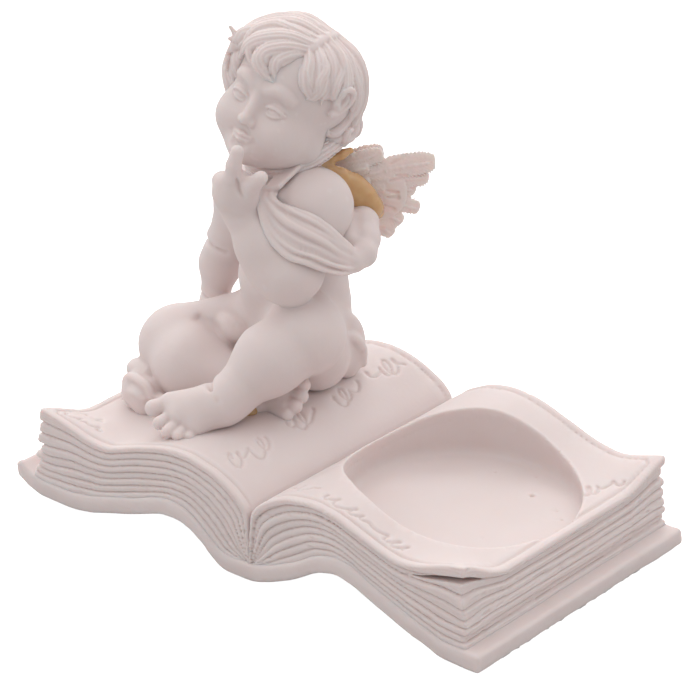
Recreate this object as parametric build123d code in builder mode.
from build123d import *
import os
from math import asin, cos, radians, sin

# Resin angel seated on an open book, with a round candle recess in the right-hand page.
# Millimetres. Origin: middle of the footprint, on the table. +X runs from the left page to the
# right page, -Y is the front edge of the book, +Z is up. "Left" and "right" limbs are the angel's own.

# ---- Driving dimensions: book ---------------------------------------------------------------
book_width = 130.0
book_depth = 73.0
cover_thickness = 4.2
cover_lip = 0.8                 # how far the cover stands past the page ends
felt_thickness = 0.8
felt_inset = 5.0
gutter_x = 3.0
gutter_z = 16.9
page_hump_z = 24.7
page_trough_z = 18.6
page_edge_z = 17.0
corner_lift = 6.0               # how far the curled page corners rise
curl_start = 0.62               # share of the half depth where the corners begin to curl
bundle_count = 7                # bundles of leaves seen in the page ends
groove_width = 0.5
groove_depth = 0.7
recess_x = 32.6
recess_radius = 25.4
recess_floor_z = 13.5
recess_clear_height = 20.0
left_land = (-58.0, -48.0)      # the three strips of cover that the felt sits under
spine_land = (-4.0, 4.0)
right_land = (55.0, 64.0)

# ---- Driving dimensions: figure -------------------------------------------------------------
# Joint centres, from which every limb is built.
mid_x = -25.3                   # the angel's plane of symmetry
pelvis = (mid_x, 13.5, 36.0)
belly = (mid_x, 11.5, 45.0)
chest = (mid_x, 12.8, 60.5)
neck_base = (mid_x, 13.6, 68.0)
neck_top = (mid_x, 13.2, 76.0)
skull = (-25.2, 14.6, 92.0)
brow = (-25.0, 10.5, 89.6)
jaw = (-25.6, 5.8, 84.2)
chin = (-25.7, 1.6, 78.6)
nose = (-25.4, -5.6, 86.0)
left_ear = (-11.0, 14.0, 87.0)
right_ear = (-39.6, 14.0, 87.0)
right_shoulder = (-37.8, 12.5, 62.2)
right_elbow = (-44.6, 13.0, 49.5)
right_wrist = (-49.0, 13.6, 37.5)
right_palm = (-49.6, 14.0, 27.0)
left_shoulder = (-14.3, 8.4, 66.6)
left_elbow = (-12.6, -2.2, 55.6)
left_wrist = (-26.4, -4.6, 68.2)
left_fist = (-27.4, -5.6, 70.6)
left_fingertip = (-25.4, -7.4, 76.6)
right_hip = (-34.0, 12.0, 31.5)
right_knee = (-47.2, -1.6, 29.6)
right_calf = (-39.0, -6.4, 28.6)
right_ankle = (-22.0, -5.0, 26.6)
right_ball = (-13.6, -1.8, 26.4)
left_hip = (-21.0, 12.5, 31.5)
left_knee = (-10.8, -1.2, 41.4)
left_calf = (-13.5, -8.6, 37.6)
left_ankle = (-16.8, -17.0, 31.6)
left_ball = (-22.6, -28.6, 27.6)
cloth_knee = (-46.0, -6.0, 24.0)
cloth_corner = (-46.4, -17.5, 22.6)
neck_joint_z = 74.0             # flat joint between the neck and the head casting

# ---- Driving dimensions: wings --------------------------------------------------------------
wing_root_height = 66.0
wing_root_side = 8.4            # distance of each root from the plane of symmetry
wing_root_y = 24.6
wing_thickness = 3.0
covert_thickness = 4.6
feather_lengths = (20.5, 20.0, 19.0, 17.5, 15.0)
feather_width = 6.4
feather_fan = 17.0              # degrees between neighbouring feathers
leading_angle = 24.0            # degrees of the top feather above the horizontal
wing_sweep = 36.0               # degrees that each wing turns back from straight sideways

# ---- Driving dimensions: pins and glue ------------------------------------------------------
dowel_radius = 1.5
small_pin_radius = 0.9
seat_dowel_length = 15.0
seat_dowels_at = ((-31.0, 13.0, 24.5), (-20.0, 13.0, 24.5))

# ---- Driving dimensions: scarf --------------------------------------------------------------
scarf_ring_radius = 8.4
scarf_ring_thickness = 2.5
scarf_ring_z = 69.6
scarf_tilt = 12.0               # degrees that the ring dips at the throat
sash_points = ((-24.0, 5.0, 68.2), (-17.0, -1.8, 65.6), (-9.4, -4.2, 62.6), (-4.8, 2.2, 60.6),
               (-4.8, 10.0, 59.6))
sash_radius = 3.3
sash_end_radius = 4.1

os.makedirs("parts", exist_ok=True)


def add_limb(start, end, start_radius, end_radius):
    """Add a tapered, round-ended limb between two joint centres to the open part."""
    along = Vector(*end) - Vector(*start)
    length = along.length
    lean = asin((start_radius - end_radius) / length)
    start_turn = radians(45) + lean / 2
    end_turn = radians(45) - lean / 2
    start_mid = (-start_radius * cos(start_turn), start_radius * sin(start_turn))
    start_touch = (start_radius * sin(lean), start_radius * cos(lean))
    end_touch = (length + end_radius * sin(lean), end_radius * cos(lean))
    end_mid = (length + end_radius * cos(end_turn), end_radius * sin(end_turn))
    start_pole = (-start_radius, 0)
    end_pole = (length + end_radius, 0)
    side_on = along.cross(Vector(0.31, 0.17, 0.93))
    with BuildSketch(Plane(origin=start, x_dir=along, z_dir=side_on)) as half_section:
        with BuildLine():
            ThreePointArc(start_pole, start_mid, start_touch)
            Line(start_touch, end_touch)
            ThreePointArc(end_touch, end_mid, end_pole)
            Line(end_pole, start_pole)
        make_face()
    revolve(half_section.sketch, axis=Axis(start, along))


def add_pin(start, end, radius):
    """Add a plain round pin between two points to the open part."""
    along = Vector(*end) - Vector(*start)
    with BuildSketch(Plane(origin=start, z_dir=along)) as section:
        Circle(radius)
    extrude(section.sketch, amount=along.length)


def add_toes(first, last, big_radius, small_radius):
    """Add five toes in a row to the open part, from the big toe to the little one."""
    for toe in range(5):
        share = toe / 4
        centre = tuple(a + (b - a) * share for a, b in zip(first, last))
        with Locations(centre):
            Sphere(big_radius + (small_radius - big_radius) * share)


def mirrored(point):
    """The point's partner on the other side of the angel's plane of symmetry."""
    return (2 * mid_x - point[0], point[1], point[2])


# ---- Open book ------------------------------------------------------------------------------
def underside(lift):
    """Draw the cover's lower outline, three flat lands joined by two arches, raised by lift."""
    land = felt_thickness + lift
    half = book_width / 2
    Line((-half, land + 2.6), (left_land[0], land))
    Line((left_land[0], land), (left_land[1], land))
    Spline((left_land[1], land), (-30, land + 4.7), (-18.3, land + 7.9), (-9.9, land + 4.2),
           (spine_land[0], land))
    Line((spine_land[0], land), (spine_land[1], land))
    Spline((spine_land[1], land), (15.3, land + 4.4), (27.0, land + 9.8), (36.5, land + 6.6),
           (46, land + 3.0), (right_land[0], land))
    Line((right_land[0], land), (half, land))


def leaf_edge(side, lift, share):
    """Leaf outline from gutter to fore-edge; share runs from the top leaf (0) to the cover (1)."""
    top = [(0, gutter_z), (5.5, 21.6), (17, page_hump_z), (29, 22.4), (41.5, page_trough_z),
           (49.5, page_edge_z + 0.5 + lift * 0.45), (56.5, page_edge_z + lift)]
    if side < 0:
        foot = [(0, 4.0), (6.5, 3.8), (15, 8.8), (21.3, 11.8), (33, 8.7), (49, 4.1), (64.5, 4.2)]
    else:
        foot = [(0, 4.0), (1.5, 3.9), (12.3, 8.2), (24, 13.2), (33.5, 10.0), (46, 5.6), (59.5, 4.0)]
    stretch = 1.06 if side < 0 else 1.0
    outline = []
    for (top_x, top_z), (foot_x, foot_z) in zip(top, foot):
        reach = top_x * stretch * (1 - share) + foot_x * share
        outline.append((gutter_x + side * reach, top_z * (1 - share) + foot_z * share))
    return outline


page_half_depth = book_depth / 2 - cover_lip
with BuildPart() as book_base:
    with BuildSketch(Plane.XZ):
        with BuildLine():
            underside(0)
            underside(cover_thickness)
            Line((-book_width / 2, felt_thickness + 2.6),
                 (-book_width / 2, felt_thickness + 2.6 + cover_thickness))
            Line((book_width / 2, felt_thickness), (book_width / 2, felt_thickness + cover_thickness))
        make_face()
    extrude(amount=book_depth / 2, both=True)
    # Page blocks, lofted through five outlines so that the corners curl up.
    for side in (-1, 1):
        for station in (-1, -curl_start, 0, curl_start, 1):
            curl = corner_lift * max(0, (abs(station) - curl_start) / (1 - curl_start))
            with BuildSketch(Plane.XZ.offset(-station * page_half_depth)):
                with BuildLine():
                    leaf = Spline(*leaf_edge(side, curl, 0))
                    foot = Spline(*leaf_edge(side, 0, 1))
                    Line(leaf @ 0, foot @ 0)
                    Line(leaf @ 1, foot @ 1)
                make_face()
        loft()
    # Grooves between the bundles of leaves, in the front and back page ends.
    for end in (-1, 1):
        with BuildSketch(Plane.XZ.offset(end * page_half_depth)):
            for side in (-1, 1):
                for bundle in range(1, bundle_count):
                    share = bundle / bundle_count
                    points = leaf_edge(side, corner_lift * (1 - share), share)[1:]
                    with BuildLine():
                        lower = Spline(*points)
                        upper = Spline(*[(x, z + groove_width) for x, z in points])
                        Line(lower @ 0, upper @ 0)
                        Line(lower @ 1, upper @ 1)
                    make_face()
        extrude(amount=-end * groove_depth, mode=Mode.SUBTRACT)
    # Candle recess.
    with Locations((recess_x, 0, recess_floor_z)):
        Cylinder(recess_radius, recess_clear_height, align=(Align.CENTER, Align.CENTER, Align.MIN),
                 mode=Mode.SUBTRACT)

# ---- Felt strips under the three lands ------------------------------------------------------
felt_strips = {}
for name, land in (("felt_left", left_land), ("felt_centre", spine_land), ("felt_right", right_land)):
    with BuildPart() as strip:
        with Locations(((land[0] + land[1]) / 2, 0, 0)):
            Box(land[1] - land[0], book_depth - 2 * felt_inset, felt_thickness,
                align=(Align.CENTER, Align.CENTER, Align.MIN))
        fillet(strip.edges().filter_by(Axis.Z), radius=1.5)
    felt_strips[name] = strip

# ---- Hidden pins ----------------------------------------------------------------------------
with BuildPart() as seat_dowels:
    for place in seat_dowels_at:
        with Locations(place):
            Cylinder(dowel_radius, seat_dowel_length)

with BuildPart() as neck_pin:
    add_pin((mid_x, 13.4, 66.0), (mid_x, 13.4, 84.0), dowel_radius)

with BuildPart() as left_arm_pin:
    add_pin((-21.5, 9.6, 64.4), (-12.5, 8.4, 66.2), small_pin_radius)

left_pin_start = (-19.0, 19.0, wing_root_height)
left_pin_end = (-14.6, 27.2, wing_root_height + 1.0)
with BuildPart() as left_wing_pin:
    add_pin(left_pin_start, left_pin_end, small_pin_radius)
with BuildPart() as right_wing_pin:
    add_pin(mirrored(left_pin_start), mirrored(left_pin_end), small_pin_radius)

# ---- Seated body: torso, legs, right arm and the cloth under the right knee -----------------
with BuildPart() as cherub_body:
    add_limb(chest, belly, 10.8, 11.4)
    add_limb(belly, pelvis, 11.6, 12.6)
    add_limb(neck_base, neck_top, 7.2, 6.2)
    add_limb(chest, right_shoulder, 7.5, 6.0)
    add_limb(right_shoulder, right_elbow, 5.9, 4.7)
    add_limb(right_elbow, right_wrist, 4.6, 3.6)
    add_limb(right_wrist, right_palm, 3.7, 4.2)
    add_limb(right_hip, right_knee, 9.8, 8.0)
    add_limb(right_knee, right_calf, 7.9, 7.4)
    add_limb(right_calf, right_ankle, 7.2, 4.0)
    add_limb(right_ankle, right_ball, 4.1, 3.7)
    add_limb(left_hip, left_knee, 10.0, 8.4)
    add_limb(left_knee, left_calf, 8.0, 7.3)
    add_limb(left_calf, left_ankle, 7.2, 4.8)
    add_limb(left_ankle, left_ball, 4.7, 3.9)
    add_toes((-11.2, -2.6, 27.6), (-15.0, -3.8, 25.0), 1.9, 1.3)
    add_toes((-21.6, -32.4, 27.8), (-28.4, -29.4, 24.8), 2.1, 1.4)
    add_limb(cloth_knee, cloth_corner, 4.6, 3.2)
    # Flat joint face for the head, and everything below the page taken away.
    split(bisect_by=Plane.XY.offset(neck_joint_z), keep=Keep.BOTTOM)
    add(book_base.part, mode=Mode.SUBTRACT)
    split(bisect_by=Plane.XY.offset(page_trough_z), keep=Keep.TOP)
    for pin in (seat_dowels, neck_pin, left_arm_pin, left_wing_pin, right_wing_pin):
        add(pin.part, mode=Mode.SUBTRACT)

# ---- Head with hair cap, bonded on the neck -------------------------------------------------
with BuildPart() as cherub_head:
    add_limb(skull, brow, 15.2, 14.4)
    add_limb(brow, jaw, 14.0, 10.6)
    add_limb(jaw, chin, 10.0, 5.4)
    add_limb(neck_base, neck_top, 7.2, 6.2)
    add_limb(nose, (nose[0], nose[1] - 1.2, nose[2] - 2.6), 1.2, 1.7)
    for ear in (left_ear, right_ear):
        add_limb(ear, (ear[0], ear[1] + 1.4, ear[2] + 3.6), 2.0, 2.4)
    # Locks of hair, swept back from the parting on each side of the crown.
    for lock in range(7):
        lean = radians(-60 + 20 * lock)
        crest = (skull[0] + 14.2 * sin(lean), skull[1] - 5.0, skull[2] + 13.2 * cos(lean))
        nape = (skull[0] + 12.6 * sin(lean), skull[1] + 9.4, skull[2] + 9.0 * cos(lean))
        add_limb(crest, nape, 2.6, 2.9)
    split(bisect_by=Plane.XY.offset(neck_joint_z), keep=Keep.TOP)
    add(neck_pin.part, mode=Mode.SUBTRACT)

# ---- Raised left arm, elbow on the knee and fist at the chin --------------------------------
with BuildPart() as left_arm:
    add_limb(left_shoulder, left_elbow, 7.2, 6.3)
    add_limb(left_elbow, left_wrist, 6.2, 4.2)
    add_limb(left_wrist, left_fist, 4.2, 4.4)
    add_limb(left_fist, left_fingertip, 1.9, 1.5)
    for knuckle in range(3):
        root = (left_fist[0] + 2.2, left_fist[1] - 3.0 + 0.4 * knuckle, left_fist[2] + 1.6 - 2.0 * knuckle)
        add_limb(root, (root[0] - 3.6, root[1] - 0.4, root[2] - 0.6), 1.7, 1.8)
    add(cherub_body.part, mode=Mode.SUBTRACT)
    add(cherub_head.part, mode=Mode.SUBTRACT)
    add(left_arm_pin.part, mode=Mode.SUBTRACT)


# ---- Scarf: a ring round the neck and a sash over the raised arm ----------------------------
with BuildPart() as scarf:
    with BuildLine():
        hem = Spline(*sash_points)
    with BuildSketch(Plane(origin=hem @ 0, z_dir=hem % 0)):
        Circle(sash_radius)
    sweep(path=hem)
    with Locations(sash_points[-1]):
        Sphere(sash_end_radius)
    with Locations(Location((mid_x, 13.4, scarf_ring_z), (scarf_tilt, 0, 0))):
        Torus(scarf_ring_radius, scarf_ring_thickness)
    for neighbour in (cherub_body, cherub_head, left_arm):
        add(neighbour.part, mode=Mode.SUBTRACT)

# ---- Wings ----------------------------------------------------------------------------------
def feather_wing(side):
    """One wing, side +1 for the left: a fan of round-ended feathers over a thicker covert."""
    turn = radians(wing_sweep)
    root = (mid_x + side * wing_root_side, wing_root_y, wing_root_height)
    outward = (side * cos(turn), sin(turn), 0)
    facing = (side * sin(turn), -cos(turn), 0)
    face_plane = Plane(origin=root, x_dir=outward, z_dir=facing)
    with BuildPart() as wing:
        with BuildSketch(face_plane):
            for rank, length in enumerate(feather_lengths):
                angle = side * (leading_angle - feather_fan * rank)
                quill = (cos(radians(angle)), sin(radians(angle)))
                with Locations(Location((quill[0] * length / 2, quill[1] * length / 2, 0), (0, 0, angle))):
                    SlotOverall(length, feather_width)
        extrude(amount=wing_thickness / 2, both=True)
        with BuildSketch(face_plane):
            with Locations(Location((6.0, -side * 1.0, 0), (0, 0, side * leading_angle / 2))):
                Ellipse(8.6, 5.4)
        extrude(amount=covert_thickness / 2, both=True)
        for neighbour in (cherub_body, cherub_head, left_arm, scarf, left_wing_pin, right_wing_pin):
            add(neighbour.part, mode=Mode.SUBTRACT)
    return wing


left_wing = feather_wing(1)
right_wing = feather_wing(-1)

# ---- Visible beads of amber glue ------------------------------------------------------------
left_glue_start = (mid_x + wing_root_side + 1.2, wing_root_y - 3.6, wing_root_height + 4.5)
left_glue_end = (mid_x + wing_root_side + 5.6, wing_root_y - 1.4, wing_root_height - 5.5)
with BuildPart() as left_wing_glue:
    add_limb(left_glue_start, left_glue_end, 2.6, 2.9)
    for neighbour in (cherub_body, cherub_head, left_arm, scarf, left_wing, left_wing_pin):
        add(neighbour.part, mode=Mode.SUBTRACT)
with BuildPart() as right_wing_glue:
    add_limb(mirrored(left_glue_start), mirrored(left_glue_end), 2.6, 2.9)
    for neighbour in (cherub_body, cherub_head, scarf, right_wing, right_wing_pin):
        add(neighbour.part, mode=Mode.SUBTRACT)
with BuildPart() as ankle_glue:
    add_limb((-19.0, -11.4, 25.0), (-16.6, -8.6, 25.0), 2.2, 2.0)
    for neighbour in (book_base, cherub_body):
        add(neighbour.part, mode=Mode.SUBTRACT)

# Sockets for the seat dowels in the book.
with BuildPart() as drilled_book:
    add(book_base.part)
    add(seat_dowels.part, mode=Mode.SUBTRACT)

pieces = {
    "book_base": drilled_book,
    "cherub_body": cherub_body,
    "cherub_head": cherub_head,
    "left_arm": left_arm,
    "scarf": scarf,
    "left_wing": left_wing,
    "right_wing": right_wing,
    "left_wing_glue": left_wing_glue,
    "right_wing_glue": right_wing_glue,
    "ankle_glue": ankle_glue,
    "seat_dowels": seat_dowels,
    "neck_pin": neck_pin,
    "left_arm_pin": left_arm_pin,
    "left_wing_pin": left_wing_pin,
    "right_wing_pin": right_wing_pin,
    **felt_strips,
}
for name, piece in pieces.items():
    piece.part.label = name
    export_step(piece.part, f"parts/{name}.step")
